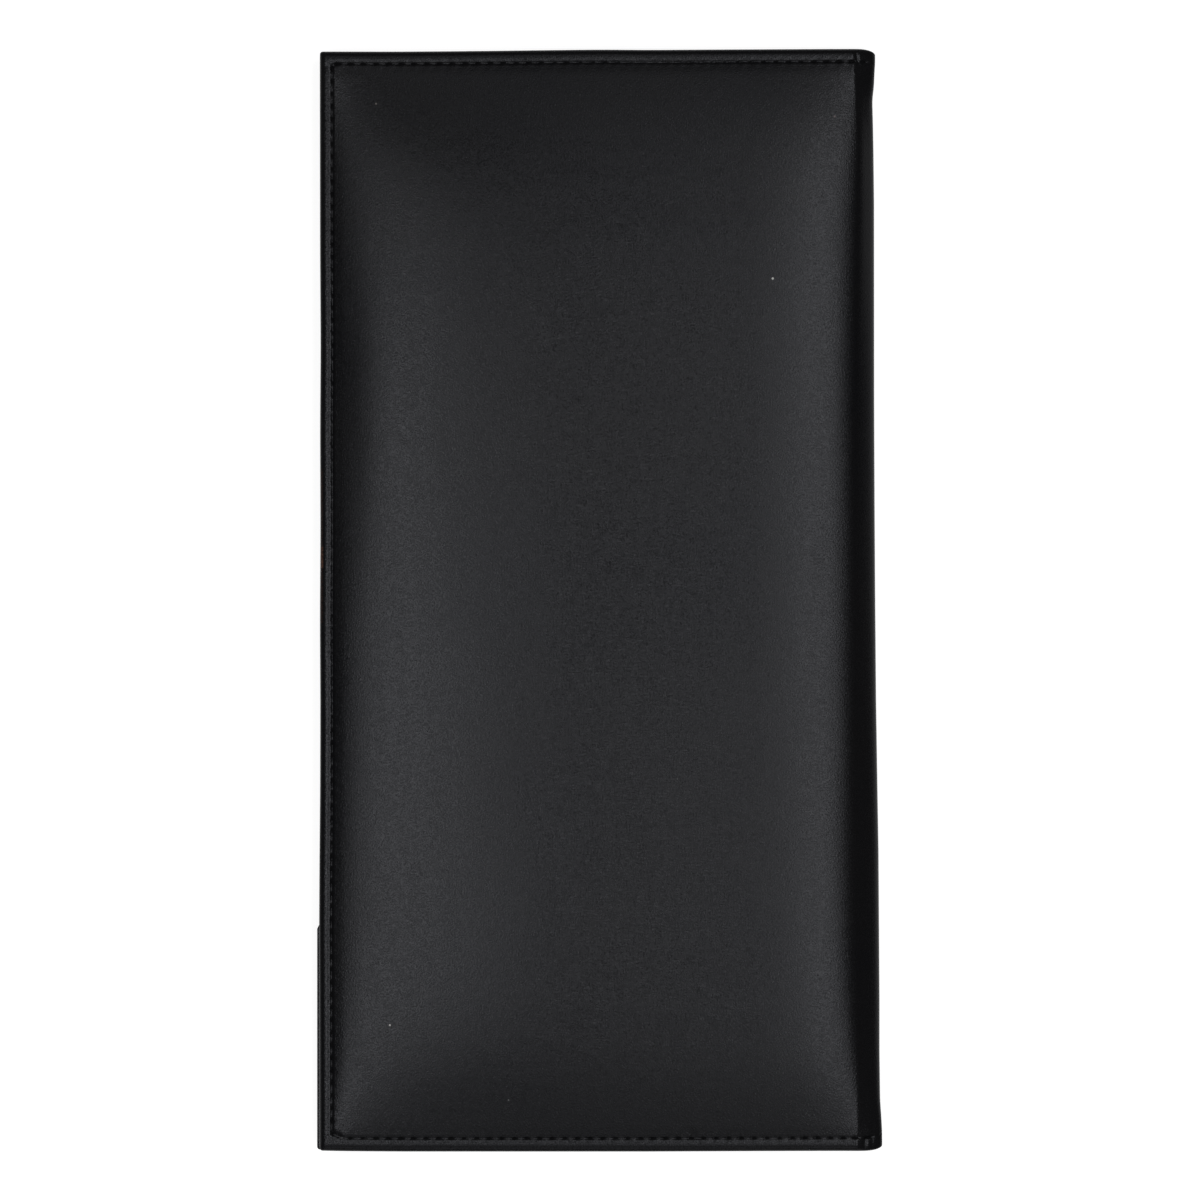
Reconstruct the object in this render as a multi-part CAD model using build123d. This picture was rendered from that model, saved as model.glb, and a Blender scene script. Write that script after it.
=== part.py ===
"""Padded guest check presenter: a book-style folder with two padded covers and a soft rolled spine.

Frame: X across the folder with the spine on +X, Y along its long side, Z up through its thickness.
The folder lies closed on its back cover, with the origin under its middle, in millimetres.
Every cover piece is drawn for the back cover; the front cover's are the same, turned over about
the middle of the thickness.
"""
import math
import os

from build123d import *

# Overall size
folder_w = 128.6
folder_h = 254.0
corner_r = 1.5

# Materials, each a sheet of its own thickness
skin_t = 0.8
foam_t = 2.5
board_t = 1.5
lining_t = 0.4
pocket_t = 0.5

# Turned edges and seams
hem_w = 3.4            # flat stitched rim, from the outline to the foot of the pad
turn_in_w = 14.0       # skin folded in over the board
end_turn_in_w = 5.0    # skin folded in at the spine's two ends
fold_r = 0.7           # round of the folded rim, under half of the two skins
stitch_inset = 2.7     # stitch line, in from the outline
seam_allowance = 1.2   # lining and pockets stop this far inside the outline

# Padded crown
ramp_w = 2.0           # steep foot of the pad, beside the rim
ramp_h = 1.8
dome_w = 30.0          # slow rise from the ramp to the flat crown
end_dome_past = 0.1    # end domes aim this far past the crown, so they cut it at a clear angle
shoulder_w = 11.0      # crown starts to drop this far from the spine's rim
shoulder_drop = 0.9

# Board and foam
board_inset = 5.7      # board edge, in from the outline on the three stitched sides
board_spine_gap = 8.8  # board edge to the spine's rim, which leaves the crease free to fold
foam_inset = 0.6       # foam stops this far inside the board's edge

# Rolled spine
spine_drop = 2.8       # top of the roll, below the crown
crease_gap = 0.3       # slit between the pieces at each crease
dip_w = 3.0            # lining falls from the board into the crease over this width

# Thread
thread_w = 0.5
thread_t = 0.3
groove_w = 0.7
groove_t = 0.25
bobbin_t = 0.2

# Pockets, with their mouths towards +Y
strip_w = 4.0          # turned-under edge that is sewn to the lining
strip_inset = 1.0      # pocket edge, in from the board's edge on the spine side
mouth_hem_w = 8.0
mouth_hem_t = 0.2
mouth_stitch_inset = 2.0
check_mouth_y = -30.0
card_mouth_y = 8.0
card_h = 54.0          # standard card, laid on its long side
card_show = 4.0        # card standing out of its pocket
pocket_spacing = 4.0   # bare lining between the card pocket and the tip pocket's mouth
thumb_notch_r = 9.0
thumb_notch_h = 6.0

# Clearances
glue_gap = 0.1         # glue line between curved sheets, and round inner edges
thread_lift = 0.03     # threads clear their curved seats at the spine by this much
closing_gap = 0.6      # air between the two pocket stacks when the folder is shut

# Levels through the back cover, up from the crown that it lies on
z_board = skin_t + foam_t
z_board_in = z_board + board_t
z_turn = z_board_in + skin_t
z_lining = z_turn + lining_t
z_hem = z_board_in - skin_t
z_pocket = z_lining + pocket_t
z_stack = z_pocket + mouth_hem_t
folder_t = 2 * z_stack + closing_gap
z_mid = folder_t / 2

# Places across and along the folder
x_edge = -folder_w / 2
x_rim = folder_w / 2
y_end = folder_h / 2
x_stitch = x_edge + stitch_inset
y_stitch = y_end - stitch_inset
x_board = x_edge + board_inset
x_board_spine = x_rim - board_spine_gap
y_board = y_end - board_inset
x_pocket = x_edge + seam_allowance
x_pocket_spine = x_board_spine - strip_inset
x_strip = x_pocket_spine - strip_w
card_low_y = card_mouth_y + card_show - card_h - strip_w
tip_mouth_y = card_low_y - pocket_spacing
x_turn_in = x_edge + turn_in_w
y_turn_in = y_end - turn_in_w
y_end_turn_in = y_end - end_turn_in_w
y_lining = y_end - seam_allowance
roll_r = z_mid - spine_drop
roll_x = x_rim - roll_r
beyond = 20.0          # how far construction solids run past the folder


def box(x0, x1, y0, y1, z0, z1):
    """Box between two corners."""
    return Pos((x0 + x1) / 2, (y0 + y1) / 2, (z0 + z1) / 2) * Box(x1 - x0, y1 - y0, z1 - z0)


def prism_along_y(face_xz, half_length):
    """Extrude a face drawn in XZ both ways along Y."""
    return extrude(Plane.XZ * face_xz, amount=half_length, both=True)


def prism_along_x(face_yz, half_length):
    """Extrude a face drawn in YZ both ways along X."""
    return extrude(Plane.YZ * face_yz, amount=half_length, both=True)


def crown_across(inset):
    """Section of all that lies inside the back skin across the folder, moved in by inset."""
    foot = x_edge + hem_w
    ramp_top = (foot + ramp_w, z_hem - ramp_h)
    flat_start = (ramp_top[0] + dome_w, 0)
    shoulder = (x_rim - shoulder_w, shoulder_drop)
    to_roll = (roll_x - shoulder[0], z_mid - shoulder[1])
    reach = math.hypot(*to_roll)
    slope = math.atan2(to_roll[1], to_roll[0]) - math.asin(roll_r / reach)
    tangent_length = math.sqrt(reach**2 - roll_r**2)
    roll_start = (
        shoulder[0] + tangent_length * math.cos(slope),
        shoulder[1] + tangent_length * math.sin(slope),
    )
    bend_r = shoulder_drop / (1 - math.cos(slope))
    flat_end = (shoulder[0] - bend_r * math.sin(slope), 0)
    outline = [
        Polyline((x_edge - beyond, z_hem), (foot, z_hem), ramp_top),
        TangentArc(flat_start, ramp_top, tangent=(-1, 0)),
        Line(flat_start, flat_end),
        TangentArc(flat_end, shoulder, tangent=(1, 0)),
        Line(shoulder, roll_start),
        TangentArc(roll_start, (x_rim, z_mid), tangent=(math.cos(slope), math.sin(slope))),
        Polyline(
            (x_rim, z_mid),
            (x_rim, folder_t + beyond),
            (x_edge - beyond, folder_t + beyond),
            (x_edge - beyond, z_hem),
        ),
    ]
    face = make_face(outline)
    return offset(face, amount=-inset, kind=Kind.INTERSECTION) if inset else face


def crown_along(inset):
    """The same section along the folder, where both ends are stitched."""
    foot = y_end - hem_w
    ramp_top = foot - ramp_w
    flat = ramp_top - dome_w
    z_flat = -end_dome_past
    outline = [
        Polyline((-y_end - beyond, z_hem), (-foot, z_hem), (-ramp_top, z_hem - ramp_h)),
        TangentArc((-flat, z_flat), (-ramp_top, z_hem - ramp_h), tangent=(-1, 0)),
        Line((-flat, z_flat), (flat, z_flat)),
        TangentArc((flat, z_flat), (ramp_top, z_hem - ramp_h), tangent=(1, 0)),
        Polyline(
            (ramp_top, z_hem - ramp_h),
            (foot, z_hem),
            (y_end + beyond, z_hem),
            (y_end + beyond, folder_t + beyond),
            (-y_end - beyond, folder_t + beyond),
            (-y_end - beyond, z_hem),
        ),
    ]
    face = make_face(outline)
    return offset(face, amount=-inset, kind=Kind.INTERSECTION) if inset else face


def inside_skin(inset):
    """Pillow-shaped space inside the back skin, at a depth of inset from its outer face."""
    across = prism_along_y(crown_across(inset), y_end + beyond / 2)
    along = prism_along_x(crown_along(inset), x_rim + beyond / 2)
    return across & along


def crease_side(side):
    """Everything on one side of the back crease: -1 the cover's side, 1 the spine's."""
    block = Pos(0, 0, side * (folder_w + crease_gap) / 2) * Box(2 * folder_w, 2 * folder_h, folder_w)
    return Pos(roll_x, 0, z_mid) * Rot(0, 45, 0) * block


def rim_block():
    """Outline of the folder as a slab with round corners and a folded, rounded rim."""
    length = folder_w + beyond
    slab = extrude(RectangleRounded(length, folder_h, corner_r), amount=z_turn - z_hem)
    slab = Pos(x_edge + length / 2, 0, z_hem) * slab
    levels = slab.faces().sort_by(Axis.Z)
    slab = fillet(levels[0].edges() + levels[-1].edges(), radius=fold_r)
    inner = box(x_edge + fold_r, x_rim + beyond, fold_r - y_end, y_end - fold_r, 0, z_hem + fold_r)
    return slab + inner


def three_sides(inset, half_w, z0, z1, x_end):
    """Bar along the left side and both ends, centred on a line inset from the outline."""
    x = x_edge + inset
    y = y_end - inset
    bars = box(x - half_w, x + half_w, -y - half_w, y + half_w, z0, z1)
    for side in (-1, 1):
        bars += box(x - half_w, x_end, side * y - half_w, side * y + half_w, z0, z1)
    return bars


def cover_skin():
    """Outer leatherette of one cover, with its edges turned in over the board."""
    body = inside_skin(0) - inside_skin(skin_t)
    body &= box(x_edge, x_rim, -y_end, y_end, 0, z_board_in)
    turn_in = box(x_edge, x_board_spine, -y_end, y_end, z_board_in, z_turn)
    turn_in -= box(x_turn_in, x_rim, -y_turn_in, y_turn_in, z_board_in, z_turn)
    for side in (-1, 1):
        y0, y1 = sorted((side * y_end_turn_in, side * y_end))
        turn_in += box(x_board_spine, x_rim, y0, y1, z_board_in, z_turn)
    skin = (body + turn_in) & rim_block() & crease_side(-1)
    return skin - three_sides(stitch_inset, groove_w / 2, z_hem - thread_t, z_hem + groove_t, x_rim)


def cover_foam():
    """Foam pad, crowned under the skin and flat on the board."""
    pad = box(
        x_board + foam_inset,
        x_board_spine - foam_inset,
        foam_inset - y_board,
        y_board - foam_inset,
        0,
        z_board,
    )
    return pad & inside_skin(skin_t + glue_gap)


def cover_board():
    """Stiff board between the foam and the lining."""
    return box(x_board, x_board_spine, -y_board, y_board, z_board, z_board_in)


def cover_lining():
    """Lining sheet: up on the turned-in skin round three sides, down on the board in the middle."""
    raised = box(x_pocket, x_board_spine, -y_lining, y_lining, z_turn, z_lining)
    x_step = x_turn_in + glue_gap
    y_step = y_turn_in - glue_gap
    well = box(x_step, x_board_spine, -y_step, y_step, z_board_in, z_lining)
    hollow = box(
        x_step + lining_t,
        x_board_spine,
        lining_t - y_step,
        y_step - lining_t,
        z_board_in + lining_t,
        z_lining,
    )
    return (raised + well - hollow + crease_lining()) & crease_side(-1)


def crease_lining():
    """Lining that falls from the board into the crease and follows the roll of the spine."""
    outer_r = roll_r - skin_t - glue_gap
    inner_r = outer_r - lining_t
    start = x_board_spine + glue_gap
    knee = start + dip_w
    diagonal = math.sin(math.radians(45))
    outer_end = (roll_x + outer_r * diagonal, z_mid - outer_r * diagonal)
    inner_end = (roll_x + inner_r * diagonal, z_mid - inner_r * diagonal)
    outline = [
        Polyline((x_board_spine, z_board_in), (start, z_board_in), (knee, z_mid - outer_r)),
        Line((knee, z_mid - outer_r), (roll_x, z_mid - outer_r)),
        TangentArc((roll_x, z_mid - outer_r), outer_end, tangent=(1, 0)),
        Line(outer_end, inner_end),
        TangentArc((roll_x, z_mid - inner_r), inner_end, tangent=(1, 0)),
        Line((roll_x, z_mid - inner_r), (knee, z_mid - inner_r)),
        Polyline(
            (knee, z_mid - inner_r),
            (start, z_board_in + lining_t),
            (x_board_spine, z_board_in + lining_t),
            (x_board_spine, z_board_in),
        ),
    ]
    full = prism_along_y(make_face(outline), y_end_turn_in - glue_gap)
    over_board = box(x_edge, x_board_spine + glue_gap, -y_turn_in, y_turn_in, 0, folder_t)
    return full & (over_board + box(x_board_spine + glue_gap, x_rim, -y_end, y_end, 0, folder_t))


def needle_thread():
    """Stitch run on the outside of one cover, sunk in its groove."""
    z_seat = z_hem + groove_t
    return three_sides(stitch_inset, thread_w / 2, z_seat - thread_t, z_seat, x_rim) & crease_side(-1)


def bobbin_thread(pockets):
    """Stitch run on the inside of one cover; pockets lists the (low y, mouth y) that it holds down."""
    half = thread_w / 2
    run = three_sides(stitch_inset, half, z_lining, z_lining + bobbin_t, x_board_spine)
    for side in (-1, 1):
        y0 = side * y_stitch - half
        y1 = side * y_stitch + half
        run -= box(x_board_spine - half, x_rim, y0, y1, z_lining, z_lining + bobbin_t)
        run += box(x_board_spine - half, x_board_spine + half, y0, y1, z_lining, z_lining + bobbin_t)
        run += box(x_board_spine + glue_gap, x_board_spine + half, y0, y1, z_turn, z_lining)
        run += box(x_board_spine + glue_gap, x_rim, y0, y1, z_turn, z_turn + bobbin_t)
    for y_low, y_mouth in pockets:
        covered = box(x_edge, x_pocket_spine, y_low, y_mouth, z_lining, z_pocket)
        over = three_sides(stitch_inset, half, z_lining, z_pocket + bobbin_t, x_pocket_spine + half)
        over &= box(x_edge, x_rim, y_low - half, y_mouth + half, 0, folder_t)
        run = run + over - covered
    return run & crease_side(-1)


def pocket(y_low, y_mouth, sewn_low):
    """Pocket sheet, hemmed at its mouth; sewn_low says that its low edge has its own seam."""
    sheet = box(x_pocket, x_pocket_spine, y_low, y_mouth, z_lining, z_pocket)
    strip_low = max(y_low, glue_gap + lining_t - y_turn_in)
    sheet += box(x_strip, x_pocket_spine, strip_low, y_mouth, z_board_in + lining_t, z_lining)
    if sewn_low:
        x_step = x_turn_in + glue_gap + lining_t
        sheet += box(x_step, x_pocket_spine, y_low, y_low + strip_w, z_board_in + lining_t, z_lining)
    hem_x = x_edge + hem_w
    return sheet + box(hem_x, x_pocket_spine, y_mouth - mouth_hem_w, y_mouth, z_pocket, z_stack)


def pocket_thread(y_low, y_mouth, sewn_low, notch=0.0):
    """Seams of one pocket: down its spine side, along its mouth, and along its low edge."""
    half = thread_w / 2
    x_seam = x_pocket_spine - strip_w / 2
    x_start = x_edge + hem_w
    y_top = y_mouth - mouth_stitch_inset
    y_hem = y_mouth - mouth_hem_w
    y_bottom = y_low + strip_w / 2 if sewn_low else strip_w / 2 - y_turn_in
    run = box(x_seam - half, x_seam + half, y_bottom - half, y_hem, z_pocket, z_pocket + bobbin_t)
    run += box(x_seam - half, x_seam + half, y_hem - thread_w, y_top, z_stack, z_stack + bobbin_t)
    run += box(x_seam - half, x_seam + half, y_hem - thread_w, y_hem, z_pocket, z_stack + bobbin_t)
    run += box(x_start, x_seam + half, y_top - half, y_top + half, z_stack, z_stack + bobbin_t)
    if notch:
        run -= box(-notch, notch, y_top - thread_w, y_top + thread_w, z_pocket, folder_t)
    if sewn_low:
        run += box(x_start, x_seam + half, y_bottom - half, y_bottom + half, z_pocket, z_pocket + bobbin_t)
    return run


def thumb_notch(y_mouth):
    """Round cut at the middle of a pocket's mouth."""
    centre_y = y_mouth - thumb_notch_h + thumb_notch_r
    return Pos(0, centre_y, z_mid) * Cylinder(thumb_notch_r, folder_t)


def spine_arc(outer_r, inner_r, y0, y1):
    """Quarter of a tube about the roll's centre line, between the two creases."""
    ring = Pos(roll_x, (y0 + y1) / 2, z_mid) * Rot(90, 0, 0) * (
        Cylinder(outer_r, y1 - y0) - Cylinder(inner_r, y1 - y0)
    )
    front_side = mirror(crease_side(1), about=Plane.XY.offset(z_mid))
    return ring & crease_side(1) & front_side


def spine_skin():
    """Outer leatherette of the spine, turned in at its two ends."""
    skin = spine_arc(roll_r, roll_r - skin_t, -y_end, y_end)
    for side in (-1, 1):
        y0, y1 = sorted((side * y_end_turn_in, side * y_end))
        skin += spine_arc(roll_r - skin_t, roll_r - 2 * skin_t, y0, y1)
        y_low = side * y_stitch - groove_w / 2
        skin -= spine_arc(roll_r + thread_t, roll_r - groove_t, y_low, y_low + groove_w)
    return skin


def spine_lining():
    """Lining inside the roll, between the turned-in ends."""
    outer_r = roll_r - skin_t - glue_gap
    y1 = y_end_turn_in - glue_gap
    return spine_arc(outer_r, outer_r - lining_t, -y1, y1)


def spine_threads(outer_r, thickness):
    """One stitch run across each end of the spine."""
    runs = []
    for side in (-1, 1):
        y_low = side * y_stitch - thread_w / 2
        runs.append(spine_arc(outer_r, outer_r - thickness, y_low, y_low + thread_w))
    return runs


def turn_over(shape):
    """Front cover's copy of a back cover piece."""
    return mirror(shape, about=Plane.XY.offset(z_mid))


y_low_pocket = -y_lining

check_pocket = pocket(y_low_pocket, check_mouth_y, False)
tip_pocket = pocket(y_low_pocket, tip_mouth_y, False)
card_pocket = pocket(card_low_y, card_mouth_y, True) - thumb_notch(card_mouth_y)
skin = cover_skin()
foam = cover_foam()
board = cover_board()
lining = cover_lining()
thread = needle_thread()

nodes = {
    "back_skin": skin,
    "back_foam_pad": foam,
    "back_board": board,
    "back_lining": lining,
    "check_pocket": check_pocket,
    "back_needle_thread": thread,
    "back_bobbin_thread": bobbin_thread([(y_low_pocket, check_mouth_y)]),
    "check_pocket_thread": pocket_thread(y_low_pocket, check_mouth_y, False),
    "spine_skin": spine_skin(),
    "spine_lining": spine_lining(),
    "spine_needle_thread": spine_threads(roll_r, groove_t - thread_lift),
    "spine_bobbin_thread": spine_threads(roll_r - 2 * skin_t - thread_lift, bobbin_t),
    "front_skin": turn_over(skin),
    "front_foam_pad": turn_over(foam),
    "front_board": turn_over(board),
    "front_lining": turn_over(lining),
    "card_pocket": turn_over(card_pocket),
    "tip_pocket": turn_over(tip_pocket),
    "front_needle_thread": turn_over(thread),
    "front_bobbin_thread": turn_over(
        bobbin_thread([(y_low_pocket, tip_mouth_y), (card_low_y, card_mouth_y)])
    ),
    "card_pocket_thread": turn_over(
        pocket_thread(card_low_y, card_mouth_y, True, notch=thumb_notch_r)
    ),
    "tip_pocket_thread": turn_over(pocket_thread(y_low_pocket, tip_mouth_y, False)),
}

os.makedirs("parts", exist_ok=True)
for name, shape in nodes.items():
    solids = []
    for piece in shape if isinstance(shape, list) else [shape]:
        solids.extend(piece.solids())
    export_step(solids[0] if len(solids) == 1 else Compound(children=solids), f"parts/{name}.step")

# Each crease turns about a line just outside the roll, placed so that the opened skin keeps its length
unrolled_half = roll_r * math.pi / 2
open_spine_z = spine_drop - roll_r * (1 - math.cos(math.radians(45))) / 2
difference = roll_x + unrolled_half - z_mid
total = x_rim + open_spine_z
crease_x = (total + difference) / 2
crease_z = (total - difference) / 2
print(f"folder {folder_w} x {folder_h} x {folder_t:.2f}")
print(f"crease axes x {crease_x:.3f}, z {crease_z:.3f} and {folder_t - crease_z:.3f}")
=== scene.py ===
# Padded guest check presenter: two padded covers, a soft spine and three inside pockets,
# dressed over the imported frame. Lengths in the dictionaries are in millimetres.
import math

import bpy
import numpy as np
from mathutils import Matrix, Vector


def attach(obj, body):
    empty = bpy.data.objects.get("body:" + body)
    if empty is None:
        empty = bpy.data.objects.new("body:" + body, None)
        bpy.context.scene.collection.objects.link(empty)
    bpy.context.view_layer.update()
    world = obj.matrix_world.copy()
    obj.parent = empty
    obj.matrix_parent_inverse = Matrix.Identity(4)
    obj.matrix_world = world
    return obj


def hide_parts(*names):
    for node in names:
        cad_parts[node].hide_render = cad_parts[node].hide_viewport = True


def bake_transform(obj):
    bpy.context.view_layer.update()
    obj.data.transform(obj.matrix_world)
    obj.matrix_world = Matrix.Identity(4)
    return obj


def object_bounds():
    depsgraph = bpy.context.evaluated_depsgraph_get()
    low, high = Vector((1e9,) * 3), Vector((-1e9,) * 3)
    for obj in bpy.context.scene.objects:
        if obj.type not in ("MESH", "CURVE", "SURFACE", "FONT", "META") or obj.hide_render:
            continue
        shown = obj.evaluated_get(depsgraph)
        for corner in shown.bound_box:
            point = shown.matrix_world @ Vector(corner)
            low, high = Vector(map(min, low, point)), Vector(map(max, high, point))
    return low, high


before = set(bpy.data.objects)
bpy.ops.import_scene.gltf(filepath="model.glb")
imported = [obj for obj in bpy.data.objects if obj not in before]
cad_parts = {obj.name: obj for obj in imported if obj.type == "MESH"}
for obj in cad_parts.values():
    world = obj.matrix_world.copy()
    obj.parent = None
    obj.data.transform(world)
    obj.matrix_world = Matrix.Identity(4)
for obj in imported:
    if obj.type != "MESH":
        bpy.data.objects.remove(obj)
cadBox = [list(corner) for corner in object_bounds()]
mm = 0.001
lowCorner = [1000 * v for v in cadBox[0]]
highCorner = [1000 * v for v in cadBox[1]]

folder = dict(
    left=lowCorner[0],
    rim=highCorner[0],
    end=highCorner[1],
    thick=highCorner[2],
    hemTop=4.0,        # depth of the stitched rim below the crown
    hemBottom=5.6,     # depth of its inner face
    liningFace=6.0,    # lining on the turned-in skin
    boardFace=4.8,     # inner face of the board
    boardRim=55.5,     # board edge beside the spine
    turnIn=14.0,
)
halfThick = folder["thick"] / 2
bothSides = (("front", True), ("back", False))
print("frame loaded, folder", [round(b - a, 2) for a, b in zip(lowCorner, highCorner)])


# Numbers

def smoothStep(value):
    value = np.clip(value, 0, 1)
    return value * value * (3 - 2 * value)


def smoothMin(a, b, k):
    k = np.maximum(k, 1e-6)
    near = np.maximum(k - np.abs(a - b), 0) / k
    return np.minimum(a, b) - near * near * k / 4


def bump(value, width):
    return np.exp(-((value / width) ** 2))


def quarterRound(value):
    # height of a quarter circle, 1 at value 0 and 0 at value 1
    return np.sqrt(np.clip(1 - value**2, 0, 1))


def heightAt(depth, isFront):
    # depths are measured inwards from the crown of each cover
    return folder["thick"] - depth if isFront else depth


def climb(stops, total):
    # height gained along (distance, slope in degrees) stops, scaled to a total
    at = np.linspace(stops[0][0], stops[-1][0], 3001)
    grade = np.tan(np.radians(np.interp(at, *zip(*stops))))
    gained = np.concatenate([[0], np.cumsum((grade[1:] + grade[:-1]) / 2 * np.diff(at))])
    return at, gained * (total / gained[-1])


def softTable(stops, blur):
    # (place, value) stops as a smooth curve for np.interp
    at = np.arange(-132, 132.1, 0.5)
    half = math.ceil(6 * blur)
    reach = np.arange(-half, half + 1) * 0.5
    weights = bump(reach, 1.4 * blur)
    edges = np.pad(np.interp(at, *zip(*stops)), half, mode="edge")
    return at, np.convolve(edges, weights / weights.sum(), mode="valid")


def turnAlong(stops):
    # the path of a section that turns through (length, angle in degrees) stops
    at = np.linspace(0, stops[-1][0], 3001)
    angle = np.radians(np.interp(at, *zip(*stops)))
    step = at[1] - at[0]
    across = np.concatenate([[0], np.cumsum(np.cos((angle[1:] + angle[:-1]) / 2)) * step])
    down = np.concatenate([[0], np.cumsum(np.sin((angle[1:] + angle[:-1]) / 2)) * step])
    return at, across, down


def wander(seed, waves, longest, shortest):
    # a gentle random field over the folder, as a function of x and y, about -1 to 1
    dice = np.random.default_rng(seed)
    parts = []
    for _ in range(waves):
        length = longest * (shortest / longest) ** dice.random()
        heading = dice.random() * 2 * math.pi
        parts.append((length, heading, dice.random() * 2 * math.pi))

    def field(x, y):
        total = 0
        for length, heading, phase in parts:
            along = x * math.cos(heading) + y * math.sin(heading)
            total = total + np.sin(2 * math.pi * along / length + phase) * length / longest
        return total / math.sqrt(waves)

    return field


# Meshes

def addObject(name, data):
    made = bpy.data.objects.new(name, data)
    bpy.context.scene.collection.objects.link(made)
    return made


def makeObject(name, points, faces, material):
    mesh = bpy.data.meshes.new(name)
    mesh.from_pydata((np.asarray(points) * mm).tolist(), [], faces)
    mesh.polygons.foreach_set("use_smooth", [True] * len(mesh.polygons))
    mesh.materials.append(material)
    mesh.update()
    return addObject(name, mesh)


def gridFaces(index, flip):
    # quads over an array of vertex numbers; -1 marks a missing vertex
    a, b, c, d = index[:-1, :-1], index[:-1, 1:], index[1:, 1:], index[1:, :-1]
    quads = np.stack([a, b, c, d], axis=-1).reshape(-1, 4)
    quads = quads[(quads >= 0).all(axis=1)]
    return (quads[:, ::-1] if flip else quads).tolist()


def closedSheet(name, face, back, flip, material):
    # two point grids joined round their rims into one closed sheet
    rows, columns = face.shape[:2]
    count = rows * columns
    front = np.arange(count).reshape(rows, columns)
    faces = gridFaces(front, flip) + gridFaces(front + count, not flip)
    rim = [*front[0, :], *front[1:, -1], *front[-1, -2::-1], *front[-2:0:-1, 0]]
    for here, there in zip(rim, rim[1:] + rim[:1]):
        quad = [here, here + count, there + count, there]
        faces.append([int(v) for v in (quad[::-1] if flip else quad)])
    points = np.concatenate([face.reshape(-1, 3), back.reshape(-1, 3)])
    return makeObject(name, points, faces, material)


# Nodes

class Sock:
    # one socket, so that node sums read as plain expressions
    def __init__(self, board, socket):
        self.board = board
        self.socket = socket

    def sibling(self, name):
        # another output of the same node
        return Sock(self.board, self.socket.node.outputs[name])

    def math(self, operation, *values):
        return self.board.node("ShaderNodeMath", {"operation": operation}, dict(enumerate(values)))

    def __add__(self, other):
        return self.math("ADD", self, other)

    def __radd__(self, other):
        return self.math("ADD", other, self)

    def __sub__(self, other):
        return self.math("SUBTRACT", self, other)

    def __rsub__(self, other):
        return self.math("SUBTRACT", other, self)

    def __mul__(self, other):
        return self.math("MULTIPLY", self, other)

    def __rmul__(self, other):
        return self.math("MULTIPLY", other, self)

    def __lt__(self, other):
        return self.math("LESS_THAN", self, other)

    def __gt__(self, other):
        return self.math("GREATER_THAN", self, other)


class Board:
    # a node tree whose nodes are made in one call each
    def __init__(self, tree):
        self.tree = tree
        tree.nodes.clear()

    def node(self, kind, settings=None, sockets=None, out=0):
        made = self.tree.nodes.new(kind)
        for key, value in (settings or {}).items():
            setattr(made, key, value)
        for key, value in (sockets or {}).items():
            if isinstance(value, Sock):
                self.tree.links.new(value.socket, made.inputs[key])
            else:
                made.inputs[key].default_value = value
        return Sock(self, made.outputs[out]) if len(made.outputs) else made

    def mix(self, factor, first, second):
        # two colours, with the factor between 0 and 1
        first = first if isinstance(first, Sock) else (*first, 1)
        second = second if isinstance(second, Sock) else (*second, 1)
        sockets = {0: factor, 6: first, 7: second}
        return self.node("ShaderNodeMix", {"data_type": "RGBA"}, sockets, out=2)

    def band(self, value, low, high):
        # 0 below low, 1 above high
        sockets = {"Value": value, "From Min": low, "From Max": high}
        return self.node("ShaderNodeMapRange", {"interpolation_type": "SMOOTHSTEP"}, sockets)

    def noise(self, place, size, detail):
        # soft blotches of about one size
        sockets = {"Vector": place, "Scale": 1 / (size * mm), "Detail": detail}
        return self.node("ShaderNodeTexNoise", {}, sockets)


def newMaterial(name):
    material = bpy.data.materials.new(name)
    material.use_nodes = True
    return material, Board(material.node_tree)


def finishMaterial(board, colour, roughness, height, look):
    # the last nodes that every surface shares
    normal = board.node(
        "ShaderNodeBump",
        {},
        {"Strength": look["bump"], "Distance": look["relief"] * mm, "Height": height},
    )
    shader = board.node(
        "ShaderNodeBsdfPrincipled",
        {},
        {
            "Base Color": colour,
            "Roughness": roughness,
            "Normal": normal,
            "Specular IOR Level": look["specular"],
            "Specular Tint": (*look.get("tint", (1, 1, 1)), 1),
            "Sheen Weight": look.get("sheen", 0.0),
            "Sheen Roughness": 0.5,
        },
    )
    board.node("ShaderNodeOutputMaterial", {}, {"Surface": shader})


def hideMaterial(name, look, marks=None):
    # grained black leatherette, worn where marks says so
    material, board = newMaterial(name)
    place = board.node("ShaderNodeTexCoord", out="Object")
    pebble = board.node(
        "ShaderNodeTexVoronoi",
        {"feature": "DISTANCE_TO_EDGE"},
        {"Vector": place, "Scale": 1 / (look["grain"] * mm), "Randomness": 1.0},
        out="Distance",
    )
    pebble = board.band(pebble, 0.0, look["crease"])
    pores = board.noise(place, look["pore"], 2.0)
    cloud = board.noise(place, look["cloud"], 3.0)
    patch = board.noise(place, look["patch"], 2.0)
    height = pebble * look["pebbleShare"] + pores * look["poreShare"] + patch * look["patchShare"]
    colour = board.mix(board.band(cloud, 0.35, 0.65), look["tintA"], look["tintB"])
    roughness = look["rough"] + (cloud - 0.5) * look["roughCloud"]
    roughness = roughness + (patch - 0.5) * look["roughPatch"] + (pores - 0.5) * look["roughPore"]
    if marks:
        colour = wornColour(board, place, pores, colour, marks)
    finishMaterial(board, colour, roughness, height, look)
    return material


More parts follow.
